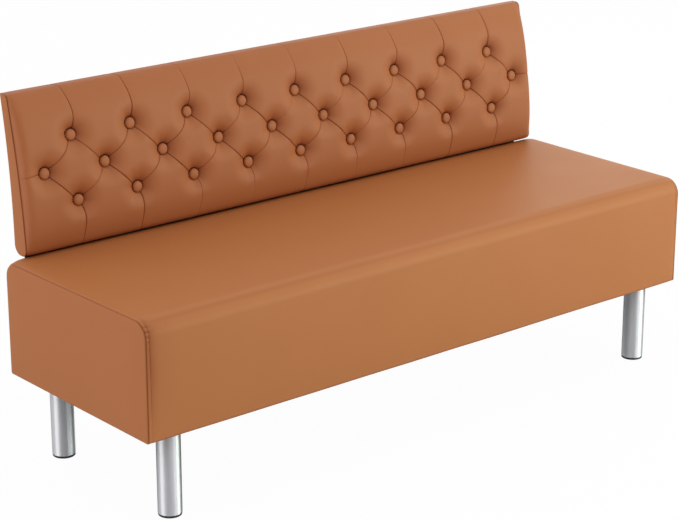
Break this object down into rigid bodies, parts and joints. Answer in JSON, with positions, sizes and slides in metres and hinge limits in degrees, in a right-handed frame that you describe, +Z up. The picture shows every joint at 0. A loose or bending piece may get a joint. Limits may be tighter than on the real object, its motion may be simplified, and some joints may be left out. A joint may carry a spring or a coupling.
{
  "type": "waiting room bench",
  "caption": "Long upholstered waiting room bench: a box seat with a leaning, diamond-tufted back in tan faux leather, on polished tube legs with levelling glides.",
  "frame": {"origin": "on the floor, under the middle of the bench's overall box", "axes": "+X along the bench's length, +Y from its front to its back, +Z up"},
  "size_m": [1.53, 0.5424, 0.784],
  "materials": {
    "tan_leather": "semi-gloss tan faux leather",
    "foam": "open-cell upholstery foam",
    "timber": "planed pine and plywood",
    "dust_cover_cloth": "black non-woven cloth",
    "polished_steel": "polished steel tube",
    "black_plastic": "black moulded plastic",
    "painted_steel": "black powder coat"
  },
  "bodies": {
    "bench": {"back_board": "timber", "back_bracket_1": "painted_steel", "back_bracket_2": "painted_steel", "back_bracket_3": "painted_steel", "back_cover": "tan_leather", "back_cross_bar": "painted_steel", "back_end_panel_left": "tan_leather", "back_end_panel_right": "tan_leather", "back_foam": "foam", "back_rear_panel": "tan_leather", "button_bottom_01": "tan_leather", "button_bottom_02": "tan_leather", "button_bottom_03": "tan_leather", "button_bottom_04": "tan_leather", "button_bottom_05": "tan_leather", "button_bottom_06": "tan_leather", "button_bottom_07": "tan_leather", "button_bottom_08": "tan_leather", "button_bottom_09": "tan_leather", "button_middle_01": "tan_leather", "button_middle_02": "tan_leather", "button_middle_03": "tan_leather", "button_middle_04": "tan_leather", "button_middle_05": "tan_leather", "button_middle_06": "tan_leather", "button_middle_07": "tan_leather", "button_middle_08": "tan_leather", "button_middle_09": "tan_leather", "button_middle_10": "tan_leather", "button_top_01": "tan_leather", "button_top_02": "tan_leather", "button_top_03": "tan_leather", "button_top_04": "tan_leather", "button_top_05": "tan_leather", "button_top_06": "tan_leather", "button_top_07": "tan_leather", "button_top_08": "tan_leather", "button_top_09": "tan_leather", "centre_rail": "timber", "dust_cover": "dust_cover_cloth", "end_rail_left": "timber", "end_rail_right": "timber", "front_rail": "timber", "leg_board_left": "timber", "leg_board_right": "timber", "leg_front_left": "polished_steel", "leg_front_right": "polished_steel", "leg_rear_left": "polished_steel", "leg_rear_right": "polished_steel", "rear_rail": "timber", "seat_cover": "tan_leather", "seat_deck": "timber", "seat_end_panel_left": "tan_leather", "seat_end_panel_right": "tan_leather", "seat_foam": "foam"},
    "glide_front_left": {"glide_front_left": "black_plastic"},
    "glide_front_right": {"glide_front_right": "black_plastic"},
    "glide_rear_left": {"glide_rear_left": "black_plastic"},
    "glide_rear_right": {"glide_rear_right": "black_plastic"}
  },
  "joints": [
    {"name": "glide_front_left_level", "type": "slide", "parent": "bench", "child": "glide_front_left", "axis": [0, 0, -1], "range_m": [0, 0.01]},
    {"name": "glide_front_right_level", "type": "slide", "parent": "bench", "child": "glide_front_right", "axis": [0, 0, -1], "range_m": [0, 0.01]},
    {"name": "glide_rear_left_level", "type": "slide", "parent": "bench", "child": "glide_rear_left", "axis": [0, 0, -1], "range_m": [0, 0.01]},
    {"name": "glide_rear_right_level", "type": "slide", "parent": "bench", "child": "glide_rear_right", "axis": [0, 0, -1], "range_m": [0, 0.01]}
  ]
}
